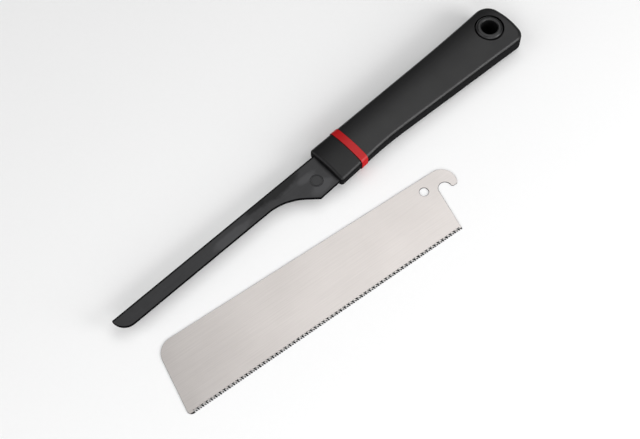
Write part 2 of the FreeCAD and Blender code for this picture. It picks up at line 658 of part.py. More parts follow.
def make_blade():
    """The blade: a thin plate with a hook, a hole and a row of slanted gullets."""
    body = new_body("blade")
    plan = body_sketch(body, "blade_plan")
    tip_back = ("sizes.tip_u", "-sizes.blade_back")
    tip_tooth = (TIP_U, TIP_V)
    hook_end = [(HOOK_INNER_U, "sizes.hook_end_v"), (HOOK_OUTER_U, "sizes.hook_end_v")]
    outline(plan,
            [("sizes.hook_u", "-sizes.blade_back"), tip_back, tip_tooth, (HEEL_U, "sizes.heel_v"),
             (THROAT_END_U, THROAT_END_V),
             ("sizes.throat_u", "sizes.throat_v - sizes.throat_radius")] + hook_end,
            {4: ("sizes.throat_radius", -1), 5: ("sizes.throat_radius", -1),
             7: ("sizes.hook_radius", 1)})
    circle_at(plan, "0", "0", "sizes.blade_hole_radius")
    pad(body, plan, "sizes.blade_thickness")
    for name, corners, radius in (("tip_back_corner", [tip_back], "sizes.tip_back_radius"),
                                  ("tip_tooth_corner", [tip_tooth], "sizes.tip_tooth_radius"),
                                  ("hook_end_corners", hook_end, "sizes.hook_end_radius")):
        round_upright(body, name, corners, radius)
    gullet = body_sketch(body, "gullet")
    bound(gullet, AttachmentOffset__Base__x=HEEL_U, AttachmentOffset__Base__y="sizes.heel_v",
          AttachmentOffset__Rotation__Angle="sizes.tooth_slope * 1 deg")
    doc.recompute()
    start = "(sizes.tooth_pitch - sizes.gullet_width)"
    outside = "sizes.tooth_depth / 2"
    outline(gullet,
            [(start, outside), (start, "0"),
             ("%s + sizes.gullet_width / 2 + sizes.gullet_lean" % start, "-sizes.tooth_depth"),
             ("sizes.tooth_pitch", "0"), ("sizes.tooth_pitch", outside)])
    first = pocket(body, gullet)
    row = body.newObject("PartDesign::LinearPattern", "gullets")
    row.Originals = [first]
    row.Direction = (gullet, ["H_Axis"])
    bound(row, Occurrences=TEETH, Length="(%s - 1) * sizes.tooth_pitch" % TEETH)
    body.Tip = row
    body.Placement.Rotation = FreeCAD.Rotation(FreeCAD.Vector(0, 0, 1), 1)
    bound(body, Placement__Base__x="sizes.blade_x", Placement__Base__y="sizes.blade_y",
          Placement__Base__z="-sizes.eyelet_height / 2",
          Placement__Rotation__Angle="sizes.blade_turn * 1 deg")
    return body


blade = make_blade()

# ---------------------------------------------------------------- check and write

doc.recompute()
for item in doc.Objects:
    if "Invalid" in item.State or "Error" in item.State:
        raise RuntimeError("%s: %s" % (item.Name, item.State))

PARTS = [spine, lock_stud_upper, lock_stud_lower, hook_pin, tang_spacer, *rivets, core_upper,
         core_lower, front_collar, red_band, grip_sleeve, hanger_eyelet, blade]
for item in PARTS:
    if item.Shape.isNull() or not item.Shape.isValid() or len(item.Shape.Solids) != 1:
        raise RuntimeError("%s isn't one valid solid" % item.Label)
for item in PARTS:
    item.Shape.exportStep("parts/%s.step" % item.Label)
    bounds = item.Shape.BoundBox
    print("%-18s %9.1f mm3  %5.1f x %5.1f x %5.1f mm"
          % (item.Label, item.Shape.Volume, bounds.XLength, bounds.YLength, bounds.ZLength))
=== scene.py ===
import logging
import math
from dataclasses import dataclass, replace
from enum import Enum
from typing import Any, Optional, Union

import bmesh
import bpy
from bmesh.types import BMesh, BMVert
from bpy.types import ID, Material, Mesh, Node, NodeSocket, NodeTree, Object
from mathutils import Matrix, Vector
from mathutils.geometry import tessellate_polygon


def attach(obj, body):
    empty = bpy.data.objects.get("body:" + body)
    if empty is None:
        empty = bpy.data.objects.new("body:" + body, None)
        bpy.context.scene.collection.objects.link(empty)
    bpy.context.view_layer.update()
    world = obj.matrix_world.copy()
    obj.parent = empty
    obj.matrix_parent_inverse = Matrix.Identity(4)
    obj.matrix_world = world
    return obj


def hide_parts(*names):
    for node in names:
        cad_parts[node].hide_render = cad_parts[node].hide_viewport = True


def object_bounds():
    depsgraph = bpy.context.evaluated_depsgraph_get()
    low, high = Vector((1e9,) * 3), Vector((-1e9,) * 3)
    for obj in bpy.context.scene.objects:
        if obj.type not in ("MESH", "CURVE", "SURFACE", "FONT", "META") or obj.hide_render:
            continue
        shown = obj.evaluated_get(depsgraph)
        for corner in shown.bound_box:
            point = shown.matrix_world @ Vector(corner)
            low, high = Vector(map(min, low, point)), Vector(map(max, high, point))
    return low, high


# Flush cut saw with its blade taken off. The row's frame is in metres: the origin is the centre of
# the hanging hole, +X runs to the spine's nose, +Y to the tooth side and +Z up from the floor.
# Sizes in the classes are in millimetres and angles in degrees, unless a docstring says otherwise.

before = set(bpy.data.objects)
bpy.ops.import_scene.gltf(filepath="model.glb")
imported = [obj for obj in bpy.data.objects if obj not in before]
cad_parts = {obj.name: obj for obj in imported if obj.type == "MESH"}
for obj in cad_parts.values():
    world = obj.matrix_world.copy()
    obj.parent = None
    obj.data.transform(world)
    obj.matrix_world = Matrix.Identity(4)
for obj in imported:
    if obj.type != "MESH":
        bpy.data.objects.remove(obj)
CAD_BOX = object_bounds()

MM = 0.001
FLOOR_Z = -8.6 * MM

# Places closer than this, in metres, are one place. Teeth are turned as they are set down, so
# theirs may lie a little further from the plate's.
WELD = 1e-6
TOOTH_WELD = 5 * WELD
# Faces across an eased edge, the smallest angle between faces whose edge is eased, and the largest
# angle between triangles that are first taken as one flat face.
EASE_STEPS = 2
SHARP_ANGLE = 40.0
FLAT_ANGLE = 0.5
# Watts that an area lamp takes for each square metre and unit of radiance.
LAMP_WATTS = 4.0

log = logging.getLogger("flush_cut_saw")

# What a link comes from.
Source = Union[Node, NodeSocket]


class Body(str, Enum):
    """The two bodies of the part."""

    SAW = "saw"
    BLADE = "blade"


class Grind(Enum):
    """Which face of a tooth its bevels are ground on."""

    UPPER = "upper"
    LOWER = "lower"


# ---------------------------------------------------------------- small helpers

def linear(colour: str) -> tuple[float, float, float, float]:
    """Turn an sRGB hex colour into linear values.

    Args:
        colour: a colour such as "#1c1c1e".

    Returns:
        Linear red, green and blue, and an alpha of 1.
    """
    shares = [int(colour[place:place + 2], 16) / 255 for place in (1, 3, 5)]
    red, green, blue = (share / 12.92 if share <= 0.04045 else ((share + 0.055) / 1.055) ** 2.4
                        for share in shares)
    return red, green, blue, 1.0


def per_metre(size: float) -> float:
    """The scale in object coordinates of a pattern whose features are size millimetres wide."""
    return 1 / (size * MM)


def add_node(tree: NodeTree, kind: str, settings: Optional[dict[Any, Any]] = None,
             links: Optional[dict[Any, Source]] = None) -> Node:
    """Add a node to a tree, with its settings and the links into it.

    Args:
        tree: the tree that gets the node.
        kind: the node's type.
        settings: values by the name of a property or of an input, or by an input's number.
        links: sockets by the name or number of the input that they go into, or nodes, of which
            the first output in use is taken.

    Returns:
        The new node.
    """
    node = tree.nodes.new(kind)
    for name, value in (settings or {}).items():
        if isinstance(name, str) and hasattr(node, name):
            setattr(node, name, value)
        else:
            node.inputs[name].default_value = value
    for name, source in (links or {}).items():
        if isinstance(source, Node):
            source = next(socket for socket in source.outputs if socket.enabled)
        tree.links.new(source, node.inputs[name])
    return node


def new_object(name: str, data: ID) -> Object:
    """Put an object in the scene.

    Args:
        name: the object's name.
        data: its mesh, lamp or camera.

    Returns:
        The object.
    """
    thing = bpy.data.objects.new(name, data)
    bpy.context.scene.collection.objects.link(thing)
    return thing


def settle(thing: Object) -> None:
    """Turn an object's modifiers into plain mesh.

    Args:
        thing: the object, which keeps no modifier.
    """
    depsgraph = bpy.context.evaluated_depsgraph_get()
    depsgraph.update()
    mesh = bpy.data.meshes.new_from_object(thing.evaluated_get(depsgraph),
                                           preserve_all_data_layers=True, depsgraph=depsgraph)
    thing.modifiers.clear()
    thing.data = mesh


def dress(thing: Object, material: Material) -> None:
    """Give every face of an object one material."""
    thing.data.materials.clear()
    thing.data.materials.append(material)


def dress_by_tilt(thing: Object, faces: Material, walls: Material, upright: float) -> None:
    """Give the broad faces of a piece one finish and its upright walls another.

    Args:
        thing: the piece.
        faces: finish of what lies flatter.
        walls: finish of what stands steeper.
        upright: share of the normal that points up or down, under which a face is a wall.
    """
    dress(thing, faces)
    thing.data.materials.append(walls)
    for face in thing.data.polygons:
        face.material_index = int(abs(face.normal.z) < upright)


def report(thing: Object) -> None:
    """Log what a piece has come to."""
    log.info("%s: %d faces", thing.name, len(thing.data.polygons))


def eased_copy(node: str, name: str, edge: float) -> Object:
    """A copy of a CAD node's mesh whose sharp edges are eased, as tumbling or a mould leaves them.

    Args:
        node: the CAD node.
        name: the copy's name.
        edge: width of the eased edge.

    Returns:
        The eased piece, which isn't yet on a body.
    """
    form = bmesh.new()
    form.from_mesh(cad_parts[node].data)
    bmesh.ops.remove_doubles(form, verts=form.verts, dist=WELD)
    bmesh.ops.dissolve_degenerate(form, edges=form.edges, dist=WELD)
    bmesh.ops.dissolve_limit(form, angle_limit=math.radians(FLAT_ANGLE), verts=form.verts,
                             edges=form.edges, use_dissolve_boundaries=False)
    form.verts.index_update()
    mesh = bpy.data.meshes.new(name)
    mesh.from_pydata([vert.co.copy() for vert in form.verts], [],
                     [[vert.index for vert in face.verts] for face in form.faces])
    form.free()
    mesh.polygons.foreach_set("use_smooth", [True] * len(mesh.polygons))
    piece = new_object(name, mesh)
    bevel = piece.modifiers.new("eased", "BEVEL")
    bevel.width = edge * MM
    bevel.segments = EASE_STEPS
    bevel.limit_method = "ANGLE"
    bevel.angle_limit = math.radians(SHARP_ANGLE)
    bevel.miter_outer = "MITER_ARC"
    bevel.use_clamp_overlap = True
    normals = piece.modifiers.new("normals", "WEIGHTED_NORMAL")
    normals.keep_sharp = True
    settle(piece)
    return piece


# ---------------------------------------------------------------- finishes

@dataclass(frozen=True)
class Finish:
    """A finish: the ends of its faint mottling, its roughness, and gloss, its specular level."""

    name: str
    deep: str
    pale: str
    roughness: float
    gloss: float = 0.5
    mottling: float = 2.0
    refraction: float = 1.5

    def material(self) -> Material:
        """Build the finish.

        Returns:
            The finish as a material.
        """
        material = bpy.data.materials.new(self.name)
        material.use_nodes = True
        tree = material.node_tree
        tree.nodes.clear()
        at = add_node(tree, "ShaderNodeTexCoord").outputs["Object"]
        surface = add_node(tree, "ShaderNodeBsdfPrincipled", self.settings(), self.layers(at))
        add_node(tree, "ShaderNodeOutputMaterial", links={"Surface": surface})
        return material

    def settings(self) -> dict[str, float]:
        """What the surface's own sockets are set to."""
        return {"Roughness": self.roughness, "IOR": self.refraction,
                "Specular IOR Level": self.gloss}

    def layers(self, at: NodeSocket) -> dict[str, Source]:
        """Lay the finish's patterns.

        Args:
            at: the material's object coordinates.

        Returns:
            What goes into the surface's inputs, by name.
        """
        tree = at.id_data
        clouds = add_node(tree, "ShaderNodeTexNoise",
                          {"Scale": per_metre(self.mottling), "Detail": 3.0}, {"Vector": at})
        skin = add_node(tree, "ShaderNodeMix",
                        {"data_type": "RGBA", 6: linear(self.deep), 7: linear(self.pale)},
                        {0: clouds})
        return {"Base Color": skin}


@dataclass(frozen=True)
class MouldedPlastic(Finish):
    """A plastic moulding: spark-eroded satin skin, with polished edges where hands rub it.

    rubbed is how alike the face's normal and the rounded one are where rubbing starts and where
    it is full. tilts are the upward shares of the normal between which a wall turns into a face.
    """

    mottling: float = 14.0
    refraction: float = 1.49
    worn: str = "#2a2a2c"
    # The real grain of about 0.05 mm is too fine to show, so it is drawn ten times as coarse.
    grain: float = 0.5
    grain_height: float = 0.012
    wall_roughness: float = 0.95
    roughness_spread: float = 0.16
    rubbed_edge: float = 0.35
    rubbed_share: float = 0.6
    rubbed: tuple[float, float] = (0.995, 0.8)
    tilts: tuple[float, float] = (0.3, 0.6)

    def layers(self, at: NodeSocket) -> dict[str, Source]:
        """Lay the mottling, the rubbed edges, the coarser walls and the grain.

        Args:
            at: the material's object coordinates.

        Returns:
            What goes into the surface's inputs, by name.
        """
        tree = at.id_data
        clouds = add_node(tree, "ShaderNodeTexNoise",
                          {"Scale": per_metre(self.mottling), "Detail": 4.0, "Roughness": 0.6},
                          {"Vector": at})
        grain = add_node(tree, "ShaderNodeTexNoise", {"Scale": per_metre(self.grain)},
                         {"Vector": at})
        skin = add_node(tree, "ShaderNodeMix",
                        {"data_type": "RGBA", 6: linear(self.deep), 7: linear(self.pale)},
                        {0: clouds})
        # Edges that hands rub: where the rounded normal leaves the face's own.
        eased = add_node(tree, "ShaderNodeBevel", {"Radius": self.rubbed_edge * MM, "samples": 4})
        shape = add_node(tree, "ShaderNodeNewGeometry")
        alike = add_node(tree, "ShaderNodeVectorMath", {"operation": "DOT_PRODUCT"},
                         {0: eased, 1: shape.outputs["Normal"]})
        wear = add_node(tree, "ShaderNodeMapRange",
                        {"From Min": self.rubbed[0], "From Max": self.rubbed[1],
                         "To Max": self.rubbed_share}, {"Value": alike})
        colour = add_node(tree, "ShaderNodeMix", {"data_type": "RGBA", 7: linear(self.worn)},
                          {0: wear, 6: skin})
        # The side walls keep the mould's coarser skin, and the broad faces are rubbed smoother.
        facing = add_node(tree, "ShaderNodeSeparateXYZ",
                          links={"Vector": at.node.outputs["Normal"]})
        upward = add_node(tree, "ShaderNodeMath", {"operation": "ABSOLUTE"},
                          {0: facing.outputs["Z"]})
        by_tilt = add_node(tree, "ShaderNodeMapRange",
                           {"From Min": self.tilts[0], "From Max": self.tilts[1],
                            "To Min": self.wall_roughness, "To Max": self.roughness},
                           {"Value": upward})
        raised = add_node(tree, "ShaderNodeMath",
                          {"operation": "MULTIPLY_ADD", 1: self.roughness_spread},
                          {0: clouds, 2: by_tilt})
        rough = add_node(tree, "ShaderNodeMath",
                         {"operation": "SUBTRACT", 1: self.roughness_spread / 2}, {0: raised})
        bump = add_node(tree, "ShaderNodeBump", {"Distance": self.grain_height * MM},
                        {"Height": grain})
        return {"Base Color": colour, "Roughness": rough, "Normal": bump}


@dataclass(frozen=True)
class Patch:
    """A ragged oval of another finish: its middle, half its length and half its width."""

    x: float
    y: float
    long: float
    wide: float


@dataclass(frozen=True)
class BlackenedSteel(Finish):
    """Spring steel strip under a thin black baked finish, faintly scuffed along its length.

    In the smudges it is sooty and matt, along fold_y it is dark and matt as painted shade, and in
    the rubbed patches the steel shines through. contrast, fold and rim are where the mottling, the
    painted shade at fold_y and a patch start and are full, and fray is how much the mottling frays
    a patch's rim.
    """

    mottling: float = 7.0
    fold_y: Optional[float] = None
    smudges: tuple[Patch, ...] = ()
    rubbed: tuple[Patch, ...] = ()
    # Real scuffs of about 0.1 mm are too fine to show, so they are drawn eight times as coarse,
    # and X is squeezed to this share so that they run along the strip.
    scuff: float = 0.8
    scuff_squeeze: float = 0.06
    scuff_share: float = 0.45
    scuff_height: float = 0.004
    contrast: tuple[float, float] = (0.36, 0.64)
    roughness_spread: float = 0.05
    bare: str = "#39393b"
    bare_share: float = 0.9
    soot_and_shade: str = "#070708"
    soot_share: float = 0.72
    soot_and_shade_roughness: float = 0.9
    fold_shade_share: float = 0.95
    fold: tuple[float, float] = (0.35, -0.25)
    fray: float = 1.2
    rim: tuple[float, float] = (1.75, 1.15)

    def layers(self, at: NodeSocket) -> dict[str, Source]:
        """Lay the mottling and scuffs, the rubbed patches, soot in smudges and painted shade along
        the fold.

        Args:
            at: the material's object coordinates.

        Returns:
            What goes into the surface's inputs, by name.
        """
        tree = at.id_data
        clouds = add_node(tree, "ShaderNodeTexNoise",
                          {"Scale": per_metre(self.mottling), "Detail": 5.0, "Roughness": 0.62},
                          {"Vector": at})
        stretched = add_node(tree, "ShaderNodeMapping", {"Scale": (self.scuff_squeeze, 1.0, 1.0)},
                             {"Vector": at})
        scuffs = add_node(tree, "ShaderNodeTexNoise",
                          {"Scale": per_metre(self.scuff), "Detail": 3.0, "Roughness": 0.55},
                          {"Vector": stretched})
        both = add_node(tree, "ShaderNodeMix", {"data_type": "FLOAT", 0: self.scuff_share},
                        {2: clouds, 3: scuffs})
        spread = add_node(tree, "ShaderNodeMapRange",
                          {"From Min": self.contrast[0], "From Max": self.contrast[1]},
                          {"Value": both})
        colour = add_node(tree, "ShaderNodeMix",
                          {"data_type": "RGBA", 6: linear(self.deep), 7: linear(self.pale)},
                          {0: spread})
        rough = add_node(tree, "ShaderNodeMapRange",
                         {"To Min": self.roughness - self.roughness_spread,
                          "To Max": self.roughness + self.roughness_spread}, {"Value": both})
        for patch in self.rubbed:
            share = self.patch_share(at, clouds, patch, self.bare_share)
            colour = add_node(tree, "ShaderNodeMix", {"data_type": "RGBA", 7: linear(self.bare)},
                              {0: share, 6: colour})
        soot_and_shade_shares = [self.patch_share(at, clouds, patch, self.soot_share) for patch in self.smudges]
        # Painted shade along the fold, in the same near black as the smudges' soot.
        if self.fold_y is not None:
            parts = add_node(tree, "ShaderNodeSeparateXYZ", links={"Vector": at})
            start, end = ((self.fold_y + side) * MM for side in self.fold)
            soot_and_shade_shares.insert(0, add_node(tree, "ShaderNodeMapRange",
                                    {"From Min": start, "From Max": end, "To Max": self.fold_shade_share,
                                     "interpolation_type": "SMOOTHSTEP"},
                                    {"Value": parts.outputs["Y"]}))
        for share in soot_and_shade_shares:
            colour = add_node(tree, "ShaderNodeMix", {"data_type": "RGBA", 7: linear(self.soot_and_shade)},
                              {0: share, 6: colour})
            rough = add_node(tree, "ShaderNodeMix", {"data_type": "FLOAT", 3: self.soot_and_shade_roughness},
                             {0: share, 2: rough})
        bump = add_node(tree, "ShaderNodeBump", {"Distance": self.scuff_height * MM},
                        {"Height": scuffs})
        return {"Base Color": colour, "Roughness": rough, "Normal": bump}

    def patch_share(self, at: NodeSocket, clouds: Node, patch: Patch, most: float) -> Node:
        """The share of a patch's finish, which fades out at a ragged rim.

        Args:
            at: the material's object coordinates.
            clouds: noise that frays the patch's rim.
            patch: where the patch lies.
            most: the share in the patch's middle.

        Returns:
            The node that gives the share.
        """
        tree = at.id_data
        lie = add_node(tree, "ShaderNodeMapping",
                       {"Location": (-patch.x / patch.long, -patch.y / patch.wide, 0.0),
                        "Scale": (per_metre(patch.long), per_metre(patch.wide), 0.0)},
                       {"Vector": at})
        reach = add_node(tree, "ShaderNodeVectorMath", {"operation": "LENGTH"}, {0: lie})
        ragged = add_node(tree, "ShaderNodeMath", {"operation": "MULTIPLY_ADD", 1: self.fray},
                          {0: clouds, 2: reach})
        return add_node(tree, "ShaderNodeMapRange",
                        {"From Min": self.rim[0], "From Max": self.rim[1], "To Max": most,
                         "interpolation_type": "SMOOTHSTEP"}, {"Value": ragged})


@dataclass(frozen=True)
class GroundSteel(Finish):
    """Bare carbon steel, ground along its length, its tooth tips dark from induction hardening.

    turn is the tooth line's, and corner a place on that line in metres. The steel is burnt to
    burnt_depth from it, and fully to burnt_core of that. contrast is where the mottling starts
    and is full.
    """

    mottling: float = 30.0
    burnt: str = "#1c1a1a"
    turn: float = 0.0
    corner: tuple[float, float] = (0.0, 0.0)
    burnt_depth: float = 1.15
    burnt_core: float = 0.5
    # Real grinding lines of about 0.05 mm are too fine to show, so they are drawn ten times as
    # coarse, and X is squeezed to this share so that they run along the blade.
    line: float = 0.5
    line_squeeze: float = 0.02
    line_height: float = 0.003
    mottling_share: float = 0.4
    contrast: tuple[float, float] = (0.35, 0.65)
    roughness_spread: float = 0.06

    def settings(self) -> dict[str, float]:
        """What the surface's own sockets are set to; a metal keeps the default IOR."""
        return {"Metallic": 1.0}

    def layers(self, at: NodeSocket) -> dict[str, Source]:
        """Lay the grinding lines, the mottling and the burnt tips.

        Args:
            at: the material's object coordinates.

        Returns:
            What goes into the surface's inputs, by name.
        """
        tree = at.id_data
        turn = math.radians(-self.turn)
        x, y = self.corner
        along = (-(x * math.cos(turn) - y * math.sin(turn)),
                 -(x * math.sin(turn) + y * math.cos(turn)), 0.0)
        # X runs along the tooth line from the heel, and Y out over the teeth from that line.
        lie = add_node(tree, "ShaderNodeMapping", {"Rotation": (0, 0, turn), "Location": along},
                       {"Vector": at})
        stretched = add_node(tree, "ShaderNodeMapping", {"Scale": (self.line_squeeze, 1.0, 1.0)},
                             {"Vector": lie})
        lines = add_node(tree, "ShaderNodeTexNoise",
                         {"Scale": per_metre(self.line), "Detail": 3.0, "Roughness": 0.6},
                         {"Vector": stretched})
        clouds = add_node(tree, "ShaderNodeTexNoise",
                          {"Scale": per_metre(self.mottling), "Detail": 3.0}, {"Vector": lie})
        both = add_node(tree, "ShaderNodeMix", {"data_type": "FLOAT", 0: self.mottling_share},
                        {2: lines, 3: clouds})
        spread = add_node(tree, "ShaderNodeMapRange",
                          {"From Min": self.contrast[0], "From Max": self.contrast[1]},
                          {"Value": both})
        skin = add_node(tree, "ShaderNodeMix",
                        {"data_type": "RGBA", 6: linear(self.deep), 7: linear(self.pale)},
                        {0: spread})
        parts = add_node(tree, "ShaderNodeSeparateXYZ", links={"Vector": lie})
        heat = add_node(tree, "ShaderNodeMapRange",
                        {"From Min": -self.burnt_depth * MM,
                         "From Max": -self.burnt_core * self.burnt_depth * MM,
                         "interpolation_type": "SMOOTHSTEP"}, {"Value": parts.outputs["Y"]})
        colour = add_node(tree, "ShaderNodeMix", {"data_type": "RGBA", 7: linear(self.burnt)},
                          {0: heat, 6: skin})
        rough = add_node(tree, "ShaderNodeMapRange",
                         {"To Min": self.roughness - self.roughness_spread,
                          "To Max": self.roughness + self.roughness_spread}, {"Value": lines})
        bump = add_node(tree, "ShaderNodeBump", {"Distance": self.line_height * MM},
                        {"Height": lines})
        return {"Base Color": colour, "Roughness": rough, "Normal": bump}


# Matt paper: nearly white and faintly uneven, so that the saw seems to lie on something real.
# Its fibres are too fine to show, so the mottling is drawn coarser.
PAPER = Finish("pale_paper", "#f5f5f5", "#f7f7f7", 0.9, 0.1)
# Moulded polypropylene: near black, with a soft grey sheen where its crown faces the lamps.
BLACK_GRIP = MouldedPlastic("satin_black_polypropylene", "#0e0e0f", "#121213", 0.4, 0.42)
# Moulded nylon: a shade blacker and duller than the grip, so that the eye parts the two.
BLACK_COLLAR = MouldedPlastic("satin_black_nylon", "#0c0c0d", "#101011", 0.4, 0.33)
# Moulded acetal: hard and slippery, a little greyer, with a tight highlight round its dome.
GREY_EYELET = MouldedPlastic("dark_grey_acetal", "#181819", "#1e1e1f", 0.36, 0.45,
                             worn="#404042", grain_height=0.01, wall_roughness=0.7)
# Moulded ABS: a full red under a smooth skin, which keeps one broad soft highlight.
RED_BAND = MouldedPlastic("red_abs", "#a80f14", "#b41217", 0.35, 0.26,
                          worn="#c8282c", grain=0.6, grain_height=0.008)
# The same ABS as the mould leaves its sides: red without any glint.
RED_WALL = replace(RED_BAND, name="red_abs_wall", roughness=0.7, gloss=0.2)
# The same ABS at the band's rims, painted a dark red line as the shade in the two joints.
RED_RIM_SHADE = replace(RED_WALL, name="red_abs_rim", deep="#4a080a", pale="#540a0c", worn="#5c0c0e",
                  gloss=0.1)
# The mouldings' steep walls: a coarse spark-eroded skin, a shade blacker than the faces and
# without glint; in the eyelet's bore and groove that black is painted shade.
MOULD_WALL_AND_SHADE = MouldedPlastic("spark_eroded_wall_and_painted_shade", "#0a0a0b", "#0e0e0f", 0.95, 0.12,
                            worn="#141415", grain_height=0.02)
# Black oiled steel of studs, pin and rivets: charcoal with faint scuffs.
BLACK_STEEL = BlackenedSteel("black_oiled_steel", "#1c1c1e", "#262628", 0.45)
# Spring steel strip with a baked finish: the same charcoal, with painted shade along its fold,
# sooty in two smudges, and a paler grey in three patches where it has been rubbed.
BLACK_SPINE = replace(BLACK_STEEL, name="black_finished_spring_steel", fold_y=-9.45,
                      smudges=(Patch(160.0, -8.4, 17.0, 4.4), Patch(177.0, -8.6, 7.0, 2.2)),
                      rubbed=(Patch(198.0, -4.4, 15.0, 3.2), Patch(144.0, -3.0, 7.0, 2.6),
                              Patch(141.0, 7.0, 8.0, 4.0)))
# The strip's steep walls and the inside of its slot, near black with no glint: the sheared edge
# torn and rough, and the slot and the fold's steep side as painted shade.
SHEARED_EDGE_AND_SHADE = BlackenedSteel("sheared_steel_edge_and_painted_shade", "#08080a", "#0e0e10", 0.9, 0.03)
# Dark steel of the blade, brown-black and hardly shining: on the teeth from hardening, and on the
# plate's edges and chamfers as painted shade.
DARK_EDGE_AND_SHADE = BlackenedSteel("hardened_steel_and_painted_edge_shade", "#0d0b0a", "#151211", 0.7, 0.15)


# ---------------------------------------------------------------- blade

@dataclass
class Blade:
    """The blade, in its own plan: U from its hole to the tip, V to the teeth."""

    # Where its hole lies beside the saw, and how the blade is turned there.
    hole_x: float = 98.2
    hole_y: float = 45.24
    turn: float = -8.2
    # The plate.
    thickness: float = 0.5
    hole_radius: float = 2.6
    back: float = 7.5
    tip_u: float = 173.0
    tip_slope: float = 8.33
    heel_lean: float = 8.45
    heel_v: float = 30.5
    tooth_slope: float = 1.553
    tip_back_radius: float = 10.0
    tip_tooth_radius: float = 2.5
    # The hook. throat_stop and hook_start are what its end's corners take off the two arcs.
    hook_radius: float = 8.6
    hook_u: float = -11.9
    throat_radius: float = 3.9
    throat_u: float = -11.2
    throat_v: float = 4.9
    hook_end_v: float = 6.2
    hook_end_radius: float = 1.2
    throat_stop: float = 12.0
    hook_start: float = 14.0
    # The gullets, whose mouths lie on the tooth line; margin is what its ends keep free.
    pitch: float = 1.41
    depth: float = 1.85
    mouth: float = 1.0
    lean: float = 0.6
    margin: float = 2.8
    gullet_floor: float = 0.56
    # A tooth: its end, the slant of that end, its ground flanks and point, and the strip at the
    # root that stays bright.
    tip_land: float = 0.78
    tip_slant: float = 0.1
    flank: float = 0.2
    point: float = 0.4
    bright_root: float = 0.2
    # Edges: eased all round, and more in the hole and the throat, where the wider dark chamfer is
    # painted shade. A corner is drawn in by no more than 1 / least_share of that. Arcs turn by
    # arc_step at most.
    eased_edge: float = 0.07
    painted_shade_edge: float = 0.22
    least_share: float = 0.5
    arc_step: float = 4.0
    # Share of the normal that points up or down, under which a face of the plate is dressed dark
    # as painted shade.
    upright: float = 0.8
    dark_mark: str = "dark_skin"

    def heel(self) -> Vector:
        """Find the corner of the heel's edge and the tooth line.

        Returns:
            Its place in the plan.
        """
        lean = math.radians(self.heel_lean)
        throat_end = Vector((self.throat_u + self.throat_radius * math.cos(lean),
                             self.throat_v - self.throat_radius * math.sin(lean)))
        return Vector((throat_end.x + (self.heel_v - throat_end.y) * math.tan(lean), self.heel_v))

    def tip(self) -> Vector:
        """Find the corner of the tip's edge and the tooth line.

        Returns:
            Its place in the plan.
        """
        tip_lean = math.tan(math.radians(self.tip_slope))
        tooth_lean = math.tan(math.radians(self.tooth_slope))
        v = ((self.heel_v + (self.tip_u + self.back * tip_lean - self.heel().x) * tooth_lean)
             / (1 - tip_lean * tooth_lean))
        return Vector((self.tip_u + (v + self.back) * tip_lean, v))

    def along(self, distance: float, depth: float) -> Vector:
        """Find a place under the tooth line.

        Args:
            distance: how far it is from the heel along the line.
            depth: how far it is under the line.

        Returns:
            Its place in the plan.
        """
        slope = math.radians(self.tooth_slope)
        run = Vector((math.cos(slope), math.sin(slope)))
        out = Vector((-run.y, run.x))
        return self.heel() + run * distance - out * depth

    def gullets(self) -> int:
        """How many gullets the tooth line has room for."""
        return math.floor(((self.tip() - self.heel()).length - self.margin) / self.pitch)

    def apex(self) -> float:
        """Place of the first gullet's middle at its floor, along the tooth line."""
        return self.pitch - self.mouth / 2 + self.lean

    def widening(self) -> float:
        """How much wider a tooth's point is on each side than the land between two mouths."""
        return (self.tip_land - (self.pitch - self.mouth)) / 2

    def arc(self, centre: Vector, radius: float, start: float, end: float) -> list[Vector]:
        """Lay points on an arc.

        Args:
            centre: the arc's centre.
            radius: its radius.
            start: the angle of its first point.
            end: the angle of its last point.

        Returns:
            The points, both ends included.
        """
        count = max(2, math.ceil(abs(end - start) / self.arc_step))
        angles = [math.radians(start + (end - start) * step / count) for step in range(count + 1)]
        return [centre + Vector((math.cos(angle), math.sin(angle))) * radius for angle in angles]

    def corner(self, before: Vector, at: Vector, after: Vector, radius: float) -> list[Vector]:
        """Round the corner of two straight runs.

        Args:
            before: a place on the run to the corner.
            at: the corner.
            after: a place on the run from the corner.
            radius: the rounding's radius.

        Returns:
            Points of the rounding, from the first run to the second.
        """
        back, onward = (before - at).normalized(), (after - at).normalized()
        half = back.angle(onward) / 2
        reach = radius / math.tan(half)
        centre = at + (back + onward).normalized() * (radius / math.sin(half))
        start, end = at + back * reach - centre, at + onward * reach - centre
        first = math.degrees(math.atan2(start.y, start.x))
        sweep = math.degrees(math.atan2(start.x * end.y - start.y * end.x, start.dot(end)))
        return self.arc(centre, radius, first, first + sweep)

    def hook_edge(self) -> list[Vector]:
        """Run along the hook: its throat, its rounded end and its outside.

        Returns:
            The points, from the heel's edge to the back edge.
        """
        throat = Vector((self.throat_u, self.throat_v))
        hook = Vector((self.hook_u, self.hook_radius - self.back))
        throat_rise, hook_rise = self.hook_end_v - self.throat_v, self.hook_end_v - hook.y
        inner = Vector((self.throat_u - math.sqrt(self.throat_radius ** 2 - throat_rise ** 2),
                        self.hook_end_v))
        outer = Vector((self.hook_u - math.sqrt(self.hook_radius ** 2 - hook_rise ** 2),
                        self.hook_end_v))
        inner_angle = -180 - math.degrees(math.asin(throat_rise / self.throat_radius))
        outer_angle = math.degrees(math.atan2(outer.y - hook.y, outer.x - hook.x)) % 360
        inside = self.arc(throat, self.throat_radius, -self.heel_lean,
                          inner_angle + self.throat_stop)
        outside = self.arc(hook, self.hook_radius, outer_angle + self.hook_start, 270)
        return (inside + self.corner(inside[-1], inner, outer, self.hook_end_radius)
                + self.corner(inner, outer, outside[0], self.hook_end_radius) + outside)

